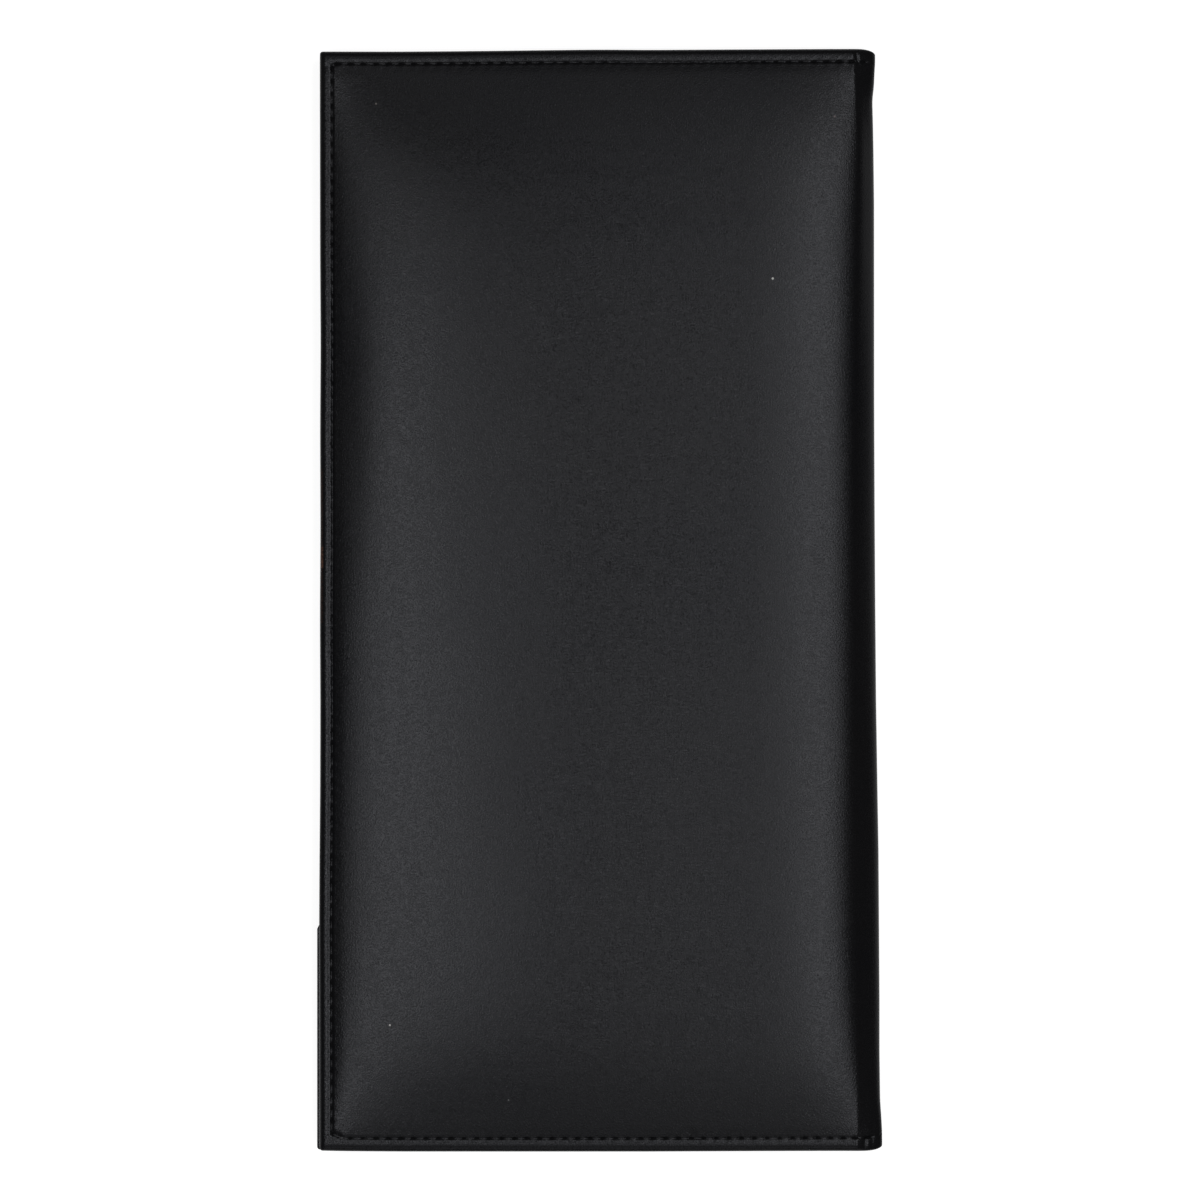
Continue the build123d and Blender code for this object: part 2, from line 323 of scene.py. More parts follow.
def wornColour(board, place, pores, colour, marks):
    # brown rubs on the upper cover's left edge, and specks of lint on its face
    parts = board.node("ShaderNodeSeparateXYZ", {}, {"Vector": place})
    across, along, up = (parts.sibling(axis) for axis in "XYZ")
    plan = board.node("ShaderNodeCombineXYZ", {}, {"X": across, "Y": along})
    upper = up > halfThick * mm
    edge, fade = -marks["edgeX"], marks["endFade"]
    outer = board.band(across * -1, edge * mm, (edge + marks["edgeFade"]) * mm) * upper
    for low, high, tint, share in marks["rubs"]:
        start = board.band(along, (low - fade) * mm, low * mm)
        stop = board.band(along * -1, -(high + fade) * mm, -high * mm)
        ragged = board.band(pores, 0.35, 0.55) * share
        colour = board.mix(outer * (start * stop) * ragged, colour, tint)
    for x, y, size, tint in marks["lint"]:
        away = board.node(
            "ShaderNodeVectorMath",
            {"operation": "DISTANCE"},
            {0: plan, 1: (x * mm, y * mm, 0)},
            out="Value",
        )
        colour = board.mix((away < size * mm) * upper, colour, tint)
    return colour


def wovenMaterial(name, look):
    # plain-weave cloth, with the warp along Y and the weft along X
    material, board = newMaterial(name)
    place = board.node("ShaderNodeTexCoord", out="Object")
    warp, weft = (
        board.node(
            "ShaderNodeTexWave",
            {"bands_direction": axis},
            {"Vector": place, "Scale": 0.1 / (look["yarn"] * mm), "Distortion": 0.4, "Detail": 1.0},
            out="Fac",
        )
        for axis in "XY"
    )
    slub = board.noise(place, look["slub"], 3.0)
    weave = warp * weft
    colour = board.mix(weave * 0.6 + slub * 0.4, look["tintA"], look["tintB"])
    roughness = look["rough"] + (slub - 0.5) * 0.15
    finishMaterial(board, colour, roughness, weave + slub * 0.4, look)
    return material


def threadMaterial(name, look):
    # twisted thread, with darker and lighter flecks
    material, board = newMaterial(name)
    place = board.node("ShaderNodeTexCoord", out="Object")
    fleck = board.noise(place, look["fleck"], 5.0)
    colour = board.mix(board.band(fleck, 0.4, 0.6), look["tintA"], look["tintB"])
    finishMaterial(board, colour, look["rough"] + (fleck - 0.5) * 0.1, fleck, look)
    return material


coverLook = dict(
    tintA=(0.0028, 0.0028, 0.0033),
    tintB=(0.0034, 0.0033, 0.0036),
    rough=0.275,
    roughCloud=0.05,
    roughPatch=0.06,
    roughPore=0.40,
    specular=0.165,
    tint=(0.92, 0.935, 1.0),
    crease=0.4,
    grain=0.55,        # size of the pebbles
    pore=0.34,
    cloud=45.0,
    patch=2.2,
    pebbleShare=0.8,
    poreShare=0.8,
    patchShare=0.2,
    bump=1.0,
    relief=0.021,
)
coverMarks = dict(
    edgeX=-63.4,
    edgeFade=0.5,      # how far a rub takes to start, across and along the edge
    endFade=0.6,
    # (from y, to y, colour, share) of each rub
    rubs=[(7.8, 12.0, (0.16, 0.072, 0.042), 0.9), (-5.0, 30.0, (0.026, 0.012, 0.008), 0.7)],
    # (x, y, radius, colour) of each speck
    lint=[
        (39.9, 73.9, 0.26, (0.40, 0.40, 0.38)),
        (-51.3, 114.3, 0.22, (0.10, 0.09, 0.085)),
        (-48.1, -97.7, 0.22, (0.35, 0.34, 0.33)),
        (-20.8, -115.0, 0.18, (0.09, 0.09, 0.09)),
        (54.2, 111.3, 0.22, (0.09, 0.07, 0.07)),
        (18.0, -41.0, 0.15, (0.06, 0.06, 0.06)),
    ],
)
pocketLook = dict(coverLook, rough=0.38, specular=0.20)
liningLook = dict(
    tintA=(0.009, 0.009, 0.010),
    tintB=(0.020, 0.020, 0.021),
    rough=0.72,
    specular=0.25,
    yarn=0.45,
    slub=1.6,
    bump=0.5,
    relief=0.06,
    sheen=0.1,
)
threadLook = dict(
    tintA=(0.0012, 0.0012, 0.0015),
    tintB=(0.0035, 0.0035, 0.004),
    rough=0.75,
    specular=0.06,
    fleck=0.15,
    bump=0.5,
    relief=0.03,
)
coverHide = hideMaterial("coverLeatherette", coverLook, coverMarks)
pocketHide = hideMaterial("pocketLeatherette", pocketLook)
liningCloth = wovenMaterial("liningCloth", liningLook)
sewingThread = threadMaterial("sewingThread", threadLook)
print("materials made")


# Padded covers

seamHalf = 124.3       # half of the long seam, which has 86 stitches
cover = dict(
    skin=0.8,
    edgeRound=1.7,      # width of the fold at the rim, and how far it turns down
    edgeDrop=1.4,
    cornerRadius=0.7,
    hemWide=5.2,        # width of the visible turned-in rim
    bedFrom=6.0,        # inset and right end of the hidden bed of the board
    bedTo=54.0,
    bedRight=54.5,      # where the inner face leaves the bed for the spine
    bedLift=0.2,        # how far the bed lies above the board's own inner face
    spineHem=5.0,       # width of the second layer of skin at the spine's ends
    crownLift=0.5,      # how far the upper pad stands proud of the lower one
    crownWave=0.05,     # how deep the crown's unevenness is
    frontWave=0.06,
    crownMost=0.9,      # the most the upper pad stands above the crown
    needleInset=2.7,
    pitchAlong=2 * seamHalf / 86,
    pitchAcross=2.9,
    seamInset=(2.87, 3.15, 2.95),   # the seam's place at the left, near and far rims
    grooveDeep=0.08,
    grooveWide=0.29,
    pinchDeep=0.44,     # how much deeper the hide is pulled in at a stitch
    # lumps that each stitch pushes up, as (height, distance inside the seam, width)
    stitchLumps=[(0.07, -0.7, 0.4), (0.06, 1.1, 0.8)],
    rimCrease=0.04,     # height and inset of the faint ridge beside the rim's fold
    rimCreaseAt=1.95,
    farHollow=0.10,     # the pad starts lower at the far seam: how much, and at which insets
    farHollowAt=3.2,
    farHollowFrom=2.6,
    slant=0.9,          # how far the pinch at each hole leans along the seam
    cornerSoft=(0.8, 0.3),   # how round the near and far corners of the seam are
    cornerFull=0.8,     # how far the pad keeps its fullness into the near corner
    cornerFullFrom=-70.0,    # where along Y that begins
    shoulderWide=24.0,
    shoulderDrop=2.05,
    lip=-0.8,           # the lower cover shows past the upper one's left edge
    lipFrom=-74.5,
    cornerCutX=3.9,     # size of the cut corners of the spine
    cornerCutY=1.4,
)
# (distance from the rim, slope) of a broad ramp and of a tight one
broadRamp = [
    (2.9, 4), (3.1, 16), (3.4, 21), (3.8, 20.5), (4.6, 19.5), (7.5, 18), (10, 15.5), (13, 11.5),
    (16, 8), (20, 5.4), (25, 3.4), (30, 2.1), (35, 1.3), (45, 0.6), (60, 0.2), (64, 0),
]
tightRamp = [
    (2.9, 4), (3.1, 16), (3.4, 22.5), (3.8, 21.5), (4.6, 18.6), (6.2, 14.8), (8.5, 12.0), (11, 9.8),
    (15, 7.8), (20, 5.6), (25, 4.0), (30, 2.7), (38, 1.6), (50, 0.7), (64, 0),
]
# how far the left ramp follows the tight one, as (y, share)
rampTightness = [
    (-127, 1.0), (-92, 0.9), (-60, 0.65), (-20, 0.9), (0, 0.9), (25, 0.35), (46, 0.0), (65, 0.2),
    (85, 0.5), (127, 0.6),
]
# the ramp at both ends, the shoulder beside the spine, and the roll as (length, slope)
endRamp = [
    (2.9, 4), (3.1, 12), (3.4, 15), (3.8, 14.5), (5, 13), (8, 12.3), (12, 11.2), (17, 9.2), (22, 6.8),
    (28, 4.4), (35, 2.6), (45, 1.1), (60, 0.2), (64, 0),
]
shoulderSlopes = [
    (0, 0), (6, 1.1), (10, 2.3), (14, 4.2), (16, 5.5), (18.3, 7.0), (19.4, 8.2), (20.3, 9.7),
    (21.3, 11.3), (22.2, 13.3), (23.1, 17.3), (24, 22.5),
]
rollTurns = [
    (0, 29), (1.2, 32), (2.4, 34), (3.6, 37), (4.6, 41), (5.3, 47), (5.9, 56), (6.5, 68),
    (7.1, 81), (7.4, 90),
]
# how far the spine's rim, the crease beside it and the left edge wander from straight
# lines, as (y, shift), and the two ends, as (x, shift)
rimDrift = [
    (-127, 1.05), (-123.5, 1.02), (-119.5, 0.84), (-115.2, 0.57), (-104, 0.43), (-92, 0.43),
    (-69, 0.28), (-57.5, 0.2), (-46, 0), (-23, -0.36), (0, -0.56), (23, -0.7), (46, -0.8),
    (92, -0.83), (104, -0.97), (111, -1.11), (114.5, -1.22), (116.2, -1.18), (117.6, -0.96),
    (120, -0.8), (122.3, -0.75), (125.5, -0.56), (127, -0.6),
]
creaseDrift = [
    (-127, 0.2), (-120, 0.3), (-111, 0.5), (-92, 0.15), (-46, -0.3), (0, -0.15), (46, -0.1), (81, 0.5),
    (107, 0.8), (117, -0.1), (127, -0.7),
]
leftDrift = [
    (-127, -0.1), (-92, -0.15), (-75, -0.22), (-55, -0.1), (-46, 0), (-23, 0.06), (-5, -0.04),
    (16, 0.1), (40, 0), (58, 0.14), (80, 0), (127, -0.05),
]
farDrift = [
    (-64, -0.5), (-46, -0.52), (-34, -0.43), (-23, -0.32), (-11.5, -0.17), (0, -0.05),
    (11.5, -0.13), (23, -0.06), (46, 0.06), (58, 0.11), (66, 0.1),
]
nearDrift = [
    (-64, -0.2), (-61, -0.05), (-46, 0.05), (12, 0.05), (35, -0.04), (55, -0.1), (66, -0.05),
]
# soft hollows (+) and swells (-) of the pad, as (x, y, half width, half length, depth)
hollows = [
    (-48, -100, 26, 60, 0.75), (-50, -40, 18, 40, 0.25), (-52, 92, 17, 42, 0.5),
    (20, 60, 45, 50, -0.12), (52, -75, 9, 30, -0.10),
]
# short folds in the hide, as (x, y, half width, half length, lean in degrees, depth)
foldLines = [
    (60.7, -125.1, 0.36, 1.6, 3, 0.34),
    (62.1, -124.8, 0.30, 1.3, -4, 0.18),
    (62.5, -120.6, 0.25, 1.3, 4, 0.16),
    (21.9, -123.2, 0.30, 1.6, -40, 0.26),
    (60.0, 124.8, 0.30, 1.6, -12, 0.30),
]

broadAt, broadRise = climb(broadRamp, 1.0)
tightAt, tightRise = climb(tightRamp, 1.0)
shoulderAt, shoulderFall = climb(shoulderSlopes, cover["shoulderDrop"])
rollAt, rollAcross, rollDown = turnAlong(rollTurns)
rollWide = rollAcross[-1]
rollStart = folder["rim"] - rollWide
endAt, endRise = climb(endRamp, 1.0)
rimLine = softTable(rimDrift, 0.8)
creaseLine = softTable(creaseDrift, 5.0)
tightLine = softTable(rampTightness, 10.0)
leftLine = softTable(leftDrift, 4.0)
farLine = softTable(farDrift, 3.0)
nearLine = softTable(nearDrift, 3.0)


def seamLines(inset, length, pitch):
    # grid lines from the rim's fold, across the seam, then in step with its holes
    fold = [cover["edgeRound"] * (1 - math.sin(math.radians(a))) for a in range(90, -1, -15)]
    close = [1.95, 2.1, 2.25, 2.38, 2.5, 2.6, 2.7, 2.8, 2.92, 3.06, 3.18, 3.35, 3.6, 3.85]
    steps = np.arange(inset + pitch / 2, length, pitch / 4)
    return fold + close + steps.tolist()


lastFlat = rollStart - folder["left"]
flatLines = seamLines(cover["needleInset"], lastFlat - 3, cover["pitchAcross"])
flatLines += np.linspace(flatLines[-1], lastFlat, 8)[1:].tolist()
# half of the roll's lines lie on a little more than half of its length
rollSteps = np.interp(np.linspace(0, 1, 25)[1:], [0, 0.5, 1], [0, rollAt[-1] * 0.55, rollAt[-1]])
acrossLines = np.concatenate([flatLines, lastFlat + np.interp(rollSteps, rollAt, rollAcross)])
rollShare = np.interp(rollSteps, rollAt, rollDown) / rollDown[-1]
rollShare = np.concatenate([np.zeros(len(flatLines)), rollShare])
alongHalf = np.array(seamLines(cover["needleInset"], folder["end"] - 0.3, cover["pitchAlong"]))
alongLines = np.concatenate([alongHalf - folder["end"], [0], folder["end"] - alongHalf[::-1]])
ripple = wander(7, 14, 90, 22)
frontPuff = wander(11, 8, 160, 60)


def insets(across, along):
    # distances from the left rim and from the nearer end, and the rounded inset from both
    left = across - folder["left"]
    near = folder["end"] - np.abs(along)
    soft = np.minimum(left, near) * np.where(along < 0, *cover["cornerSoft"])
    return left, near, smoothMin(left, near, soft)


def seamPlace(across, along):
    # how far in from the rim the seam lies
    left, near, _ = insets(across, along)
    side, nearEnd, farEnd = cover["seamInset"]
    end = np.where(along < 0, nearEnd, farEnd)
    return side + (end - side) * smoothStep((left - near) / 1.5 + 0.5)


def settle(across, along, isFront):
    # how far a point of the straight folder moves in the sewn one, along x and y
    rim = np.interp(along, *rimLine)
    fold = np.interp(along, *creaseLine)
    nearRim = smoothStep((across - rollStart + 1) / (rollWide + 1))
    x = (fold + (rim - fold) * nearRim) * smoothStep((across - 28) / 30)
    nearLeft = 1 - smoothStep((across - folder["left"]) / 16)
    lip = cover["lip"] * smoothStep((cover["lipFrom"] - along) / 1.2)
    x = x + nearLeft * (np.interp(along, *leftLine) if isFront else lip)
    ends = np.where(along > 0, np.interp(across, *farLine), np.interp(across, *nearLine))
    return x, np.sign(along) * ends * (np.abs(along) / folder["end"]) ** 4


def crownFall(across, along, isFront):
    # how far the crown of the pad has fallen at a point, before the ramps at its seams
    fall = np.interp(across - (rollStart - cover["shoulderWide"]), shoulderAt, shoulderFall)
    if isFront:
        fall = fall * (1 + cover["crownLift"] / cover["shoulderDrop"]) - cover["crownLift"]
    for x, y, wide, long, depth in hollows:
        fall = fall + depth * bump(across - x, wide) * bump(along - y, long)
    if isFront:
        fall = fall + cover["crownWave"] * ripple(across, along)
        fall = fall - cover["frontWave"] * frontPuff(across, along)
    return np.maximum(fall, -cover["crownMost"] if isFront else 0.0)


def stitchPull(across, along, left, near, inset):
    # the seam: a shallow groove, pulled in deeper at each stitch
    seam = inset - seamPlace(across, along)
    lean = cover["slant"] * seam
    fromFirst = across - folder["left"] - cover["needleInset"]
    phase = np.where(
        left < near,
        (along + seamHalf + lean) / cover["pitchAlong"] + 0.5,
        (fromFirst + np.sign(along) * lean) / cover["pitchAcross"] + 0.5,
    )
    pinch = (0.5 + 0.5 * np.cos(2 * math.pi * phase)) ** 1.3
    pinch = pinch * (1 + 0.25 * ripple(along * 6, across * 6))
    groove = (cover["grooveDeep"] + cover["pinchDeep"] * pinch) * bump(seam, cover["grooveWide"])
    lumps = sum(high * bump(seam - away, wide) for high, away, wide in cover["stitchLumps"])
    return groove + pinch * lumps


def coverDepth(across, along, roll, isFront, sewn=True):
    # depth of the outer face below the crown, with or without its seams and puff
    left, near, inset = insets(across, along)
    edge = np.clip(1 - inset / cover["edgeRound"], 0, 1)
    hem = folder["hemTop"] + cover["edgeDrop"] * (1 - quarterRound(edge))
    tight = np.interp(along, *tightLine)
    fromLeft = np.interp(left, broadAt, broadRise) * (1 - tight)
    fromLeft = fromLeft + np.interp(left, tightAt, tightRise) * tight
    square = cover["cornerFull"] * smoothStep((cover["cornerFullFrom"] - along) / 30)
    square = square * (1 - fromLeft) ** 2
    share = fromLeft * np.interp(near, endAt, endRise) ** (1 - square)
    depth = hem - share * (folder["hemTop"] - crownFall(across, along, isFront))
    if not sewn:
        return depth + (halfThick - depth) * roll, inset
    depth = depth - share * splineAt(padPuff[isFront], across, along)
    depth = depth + stitchPull(across, along, left, near, inset)
    depth = depth - cover["rimCrease"] * bump(inset - cover["rimCreaseAt"], 0.4)
    hollow = cover["farHollow"] * bump(near - cover["farHollowAt"], 1.5)
    hollow = hollow * smoothStep((near - cover["farHollowFrom"]) / 0.8)
    depth = depth + hollow * (along > 0)
    for x, y, wide, long, turn, deep in foldLines if isFront else []:
        c, s = math.cos(math.radians(turn)), math.sin(math.radians(turn))
        u = (across - x) * c - (along - y) * s
        v = (across - x) * s + (along - y) * c
        depth = depth + deep * bump(u, wide) * np.exp(-((v / long) ** 4))
    return depth + (halfThick - depth) * roll, inset


# Puff of the foam under the skin, found as inflated cloth

puff = dict(
    pitch=4.0,         # mesh of the simulated pad, as drawn and as remeshed
    voxel=4.5,
    deep=9.0,          # depth of its flat back
    margin=2.0,        # how far inside the rim the pad ends, and where beside the spine
    right=61.0,
    rows=64,
    heldBelow=3.2,     # points deeper than this are held by the seams
    heldX=55.5,
    pressure=4.0,
    mass=0.3,
    quality=6,
    frames=20,
    most=0.3,          # the most the skin may rise
    unevenness=0.25,   # of the face before it is inflated, elsewhere in the ripple for the back
    backShift=300.0,
    reach=6.0,         # smoothing of the field that is read from it
    spacing=6.0,
)
fieldX = np.arange(-78, 79, puff["spacing"])
fieldY = np.arange(-138, 139, puff["spacing"])


def splineAt(field, x, y):
    # smooth lookup in a field over fieldX and fieldY, as a cubic B-spline
    column = (x - fieldX[0]) / puff["spacing"]
    row = (y - fieldY[0]) / puff["spacing"]
    total = 0
    for j, rowShare in enumerate(splineShares(row - np.floor(row))):
        for i, columnShare in enumerate(splineShares(column - np.floor(column))):
            rowAt = np.clip(np.floor(row).astype(int) + j - 1, 0, len(fieldY) - 1)
            columnAt = np.clip(np.floor(column).astype(int) + i - 1, 0, len(fieldX) - 1)
            total = total + rowShare * columnShare * field[rowAt, columnAt]
    return total


def splineShares(t):
    # weights of the four nearest values, at a share t of the way between the middle two
    second = (3 * t**3 - 6 * t**2 + 4) / 6
    third = (1 + 3 * t + 3 * t**2 - 3 * t**3) / 6
    return (1 - t) ** 3 / 6, second, third, t**3 / 6


def evaluatedMesh(piece):
    view = bpy.context.evaluated_depsgraph_get()
    return bpy.data.meshes.new_from_object(piece.evaluated_get(view))


def vertexPlaces(mesh):
    places = np.empty(len(mesh.vertices) * 3, np.float32)
    mesh.vertices.foreach_get("co", places)
    return places.reshape(-1, 3).astype(float) / mm


def swellPad(isFront):
    # inflate a coarse copy of the pad as cloth held at its seams, and read how its face rises
    across = np.arange(folder["left"] + puff["margin"], puff["right"], puff["pitch"])
    end = folder["end"] - puff["margin"]
    x, y = np.meshgrid(across, np.linspace(-end, end, puff["rows"]))
    depth, _ = coverDepth(x, y, 0, isFront, sewn=False)
    depth = depth - puff["unevenness"] * ripple(x + (0 if isFront else puff["backShift"]), y)
    face = np.stack([x, y, -depth], axis=-1)
    back = np.stack([x, y, np.full(x.shape, -puff["deep"])], axis=-1)
    coarse = closedSheet("coarsePad", face, back, False, coverHide)
    remesh = coarse.modifiers.new("remesh", "REMESH")
    remesh.mode = "VOXEL"
    remesh.voxel_size = puff["voxel"] * mm
    pad = addObject("swellingPad", evaluatedMesh(coarse))
    bpy.data.objects.remove(coarse)
    before = vertexPlaces(pad.data)
    seams = (before[:, 2] < -puff["heldBelow"]) | (before[:, 0] > puff["heldX"])
    held = pad.vertex_groups.new(name="held")
    held.add([int(v) for v in np.flatnonzero(seams)], 1.0, "REPLACE")
    cloth = pad.modifiers.new("cloth", "CLOTH")
    cloth.settings.vertex_group_mass = "held"
    cloth.settings.quality = puff["quality"]
    cloth.settings.mass = puff["mass"]
    cloth.settings.use_pressure = True
    cloth.settings.uniform_pressure_force = puff["pressure"]
    cloth.settings.effector_weights.gravity = 0
    scene = bpy.context.scene
    for frameNumber in range(1, puff["frames"] + 1):
        scene.frame_set(frameNumber)
    after = vertexPlaces(evaluatedMesh(pad))
    rise = (after - before)[:, 2]
    free = ~seams
    print("pad swelled,", len(before), "points, rise up to", round(float(rise[free].max()), 2))
    bpy.data.objects.remove(pad)
    scene.frame_set(1)
    rise = rise[free] * puff["most"] / rise[free].max()
    gapX = fieldX[None, :, None] - before[free, 0]
    gapY = fieldY[:, None, None] - before[free, 1]
    weight = np.exp(-(gapX**2 + gapY**2) / puff["reach"] ** 2)
    return (weight * rise).sum(axis=2) / (weight.sum(axis=2) + 0.5)


padPuff = {}
for _, isFront in bothSides:
    padPuff[isFront] = swellPad(isFront)


def roundEnds(across, along):
    # the spine's two ends draw in at their corners
    start = folder["rim"] - cover["cornerCutX"]
    out = np.clip((across - start) / cover["cornerCutX"], 0, 1)
    cut = cover["cornerCutY"] * (1 - np.sqrt(1 - out**2 * 0.999))
    near = folder["end"] - np.abs(along)
    return along - np.sign(along) * cut * (1 - smoothStep(near / 12))


def coverPoints(isFront):
    # point grids of a cover's outer and inner faces
    across, along = np.meshgrid(acrossLines + folder["left"], alongLines)
    roll = np.broadcast_to(rollShare, across.shape)
    depth, inset = coverDepth(across, along, roll, isFront)
    fold = quarterRound(np.clip(1 - inset / cover["edgeRound"], 0, 1))
    # the outer corners are slightly rounded
    radius = cover["cornerRadius"]
    left, near, _ = insets(across, along)
    u = np.clip((radius - left) / radius, 0, 1)
    v = np.clip((radius - near) / radius, 0, 1)
    squeeze = np.maximum(u, v) / np.maximum(np.hypot(u, v), 1e-9)
    squeeze = np.where((u > 0) & (v > 0), squeeze, 1)
    x = across + radius * u * (1 - squeeze)
    y = roundEnds(across, along - np.sign(along) * radius * v * (1 - squeeze))
    # inner face: the turned-in rim, the hidden board bed, and a second layer under the spine
    double = 1 - smoothStep((near - cover["spineHem"]) / 0.8)
    skin = cover["skin"] * (1 + double) * fold
    flat = folder["hemBottom"] - 0.2 * (1 - fold)
    onRim = np.minimum(left, near) <= cover["hemWide"]
    flat = np.where(onRim, flat, folder["boardFace"] - cover["bedLift"])
    slopeX = np.gradient(depth, axis=1)
    slopeS = np.gradient(across, axis=1)
    size = np.hypot(slopeX, slopeS)
    share = smoothStep((across - cover["bedRight"]) / 2.5)
    inX = x - skin * slopeX / size * share
    inDepth = flat * (1 - share) + (depth + skin * slopeS / size) * share
    shiftX, shiftY = settle(across, along, isFront)
    outer = np.stack([x + shiftX, y + shiftY, heightAt(depth, isFront)], axis=-1)
    inner = np.stack([inX + shiftX, y + shiftY, heightAt(inDepth, isFront)], axis=-1)
    return outer, inner


def paddedCover(name, isFront):
    outer, inner = coverPoints(isFront)
    rows, columns = outer.shape[:2]
    outIndex = np.arange(rows * columns).reshape(rows, columns)
    near = folder["end"] - np.abs(alongLines)
    pastBed = acrossLines + folder["left"] > cover["bedTo"]
    ringColumn = (acrossLines < cover["bedFrom"]) | pastBed
    keep = (near < cover["bedFrom"])[:, None] | ringColumn[None, :]
    shared = np.zeros((rows, columns), bool)
    shared[0, :] = shared[-1, :] = shared[:, 0] = True
    keepNew = keep & ~shared
    inIndex = np.full((rows, columns), -1)
    inIndex[keepNew] = rows * columns + np.arange(keepNew.sum())
    inIndex[shared] = outIndex[shared]
    faces = gridFaces(outIndex, not isFront) + gridFaces(inIndex, isFront)
    # the mid-line strip of the spine
    for row in range(rows - 1):
        quad = [outIndex[row, -1], inIndex[row, -1], inIndex[row + 1, -1], outIndex[row + 1, -1]]
        quad = list(dict.fromkeys(int(v) for v in quad))
        if len(quad) > 2:
            faces.append(quad if isFront else quad[::-1])
    # one flat face closes the hidden bed of the board
    rowIn = np.flatnonzero(near >= cover["bedFrom"])
    r0, r1 = rowIn[0] - 1, rowIn[-1] + 1
    columnIn = np.flatnonzero(~ringColumn)
    c0, c1 = columnIn[0] - 1, columnIn[-1] + 1
    loop = [*inIndex[r0, c0:c1], *inIndex[r0:r1, c1], *inIndex[r1, c1:c0:-1], *inIndex[r1:r0:-1, c0]]
    loop = [int(v) for v in loop]
    faces.append(loop[::-1] if isFront else loop)
    points = np.concatenate([outer.reshape(-1, 3), inner[keepNew]])
    return makeObject(name, points, faces, coverHide)


# where the bend at a crease starts and ends, as (x, y, depth)
crease = dict(start=(58.3, 0.0, 2.4), end=(64.3, 0.0, 7.0))


def coverBody(isFront):
    return "front_cover" if isFront else "back_cover"


def crossSpine(piece, isFront):
    for x, y, depth in (crease["start"], crease["end"]):
        heightAt(depth, isFront) * mm
    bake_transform(piece)


for side, isFront in bothSides:
    piece = paddedCover(side + "_padded_cover", isFront)
    crossSpine(piece, isFront)
    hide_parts(side + "_skin", side + "_foam_pad", side + "_board", "spine_skin")
    print(side, "cover made,", len(piece.data.polygons), "faces")


# Lining

lining = dict(
    inset=1.2,
    thick=0.4,
    spineEnd=121.9,    # it ends here over the spine, and starts to draw in at drawnFrom
    drawnFrom=114,
    rimDrop=1.3,       # width of its step down from the turned-in skin to the spine
    dipWide=3.1,
    skinGap=0.9,       # between it and the outer face of the skin over the spine
)


def spineSkin(ys, isFront):
    # the skin over the shoulder and roll, with the unit slope of its section
    flat = np.linspace(folder["boardRim"] - 2, rollStart, 18, endpoint=False)
    steps = np.linspace(0, rollAt[-1], 30)
    across = np.concatenate([flat, rollStart + np.interp(steps, rollAt, rollAcross)])
    roll = np.concatenate([0 * flat, np.interp(steps, rollAt, rollDown) / rollDown[-1]])
    x, y = np.meshgrid(across, ys)
    depth, _ = coverDepth(x, y, np.broadcast_to(roll, x.shape), isFront, sewn=False)
    dx, dd = np.gradient(x, axis=1), np.gradient(depth, axis=1)
    size = np.hypot(dx, dd)
    return x, depth, dx / size, dd / size


def liningPoints(isFront):
    # point grids of the lining's face and back, flat on the cover and then over the spine
    edge = [0, 0.12, 0.5, 1.2, 1.8, 2.6, 4, 6, 9, 12, 12.6, 12.9, 13.2, 13.6, 14.5, 17]
    start = folder["left"] + lining["inset"]
    flat = [start + v for v in edge] + np.arange(start + 20, folder["boardRim"] - 1, 3.2).tolist()
    flat = np.array(flat + [folder["boardRim"] - v for v in (lining["rimDrop"], 1.0, 0.65, 0.3, 0)])
    top = folder["end"] - lining["inset"]
    half = np.array([top - v for v in edge] + np.arange(top - 20, 2, -3.2).tolist())
    ys = np.concatenate([-half, [0], half[::-1]])
    # the spine's ends are turned in over the lining, so it stops short there
    drawn = smoothStep((np.abs(ys) - lining["drawnFrom"]) / (top - lining["drawnFrom"]))
    spineYs = ys - np.sign(ys) * (top - lining["spineEnd"]) * drawn
    skinX, skinDepth, runX, runDepth = spineSkin(spineYs, isFront)
    reach = lining["skinGap"] + lining["thick"]
    keep = skinX[0] - runDepth[0] * reach > folder["boardRim"] + 0.3
    overSpine = []
    for gap in (reach, lining["skinGap"]):
        overSpine.append(((skinX - runDepth * gap)[:, keep], (skinDepth + runX * gap)[:, keep]))
    near = folder["end"] - np.abs(ys)[:, None]
    inset = smoothMin(np.broadcast_to(flat - folder["left"], (len(ys), len(flat))), near, 1.5)
    # it lies on the turned-in skin, and lower on the board inside that
    sunk = smoothStep((inset - folder["turnIn"] + 0.1) / 0.6)
    fromRim = flat[None, :] - folder["boardRim"] + lining["rimDrop"]
    sunk = np.maximum(sunk, smoothStep(fromRim / lining["rimDrop"]))
    boardLevel = folder["boardFace"] + lining["thick"]
    level = folder["liningFace"] - (folder["liningFace"] - boardLevel) * sunk
    level = level + 0.03 * ripple(flat[None, :] * 2, ys[:, None] * 2)
    dip = smoothStep((overSpine[0][0] - folder["boardRim"]) / lining["dipWide"])
    grids = []
    for (x, depth), below in zip(overSpine, (0, lining["thick"])):
        depth = (boardLevel - below) * (1 - dip) + depth * dip
        x = np.concatenate([np.broadcast_to(flat, level.shape), x], axis=1)
        y = np.broadcast_to(spineYs[:, None], x.shape).copy()
        y[:, :len(flat)] = ys[:, None]
        shiftX, shiftY = settle(x, y, isFront)
        z = heightAt(np.concatenate([level - below, depth], axis=1), isFront)
        grids.append(np.stack([x + shiftX, y + shiftY, z], axis=-1))
    return grids


for side, isFront in bothSides:
    piece = closedSheet(side + "_cloth_lining", *liningPoints(isFront), isFront, liningCloth)
    crossSpine(piece, isFront)
    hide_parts(side + "_lining", "spine_lining")
print("linings made")


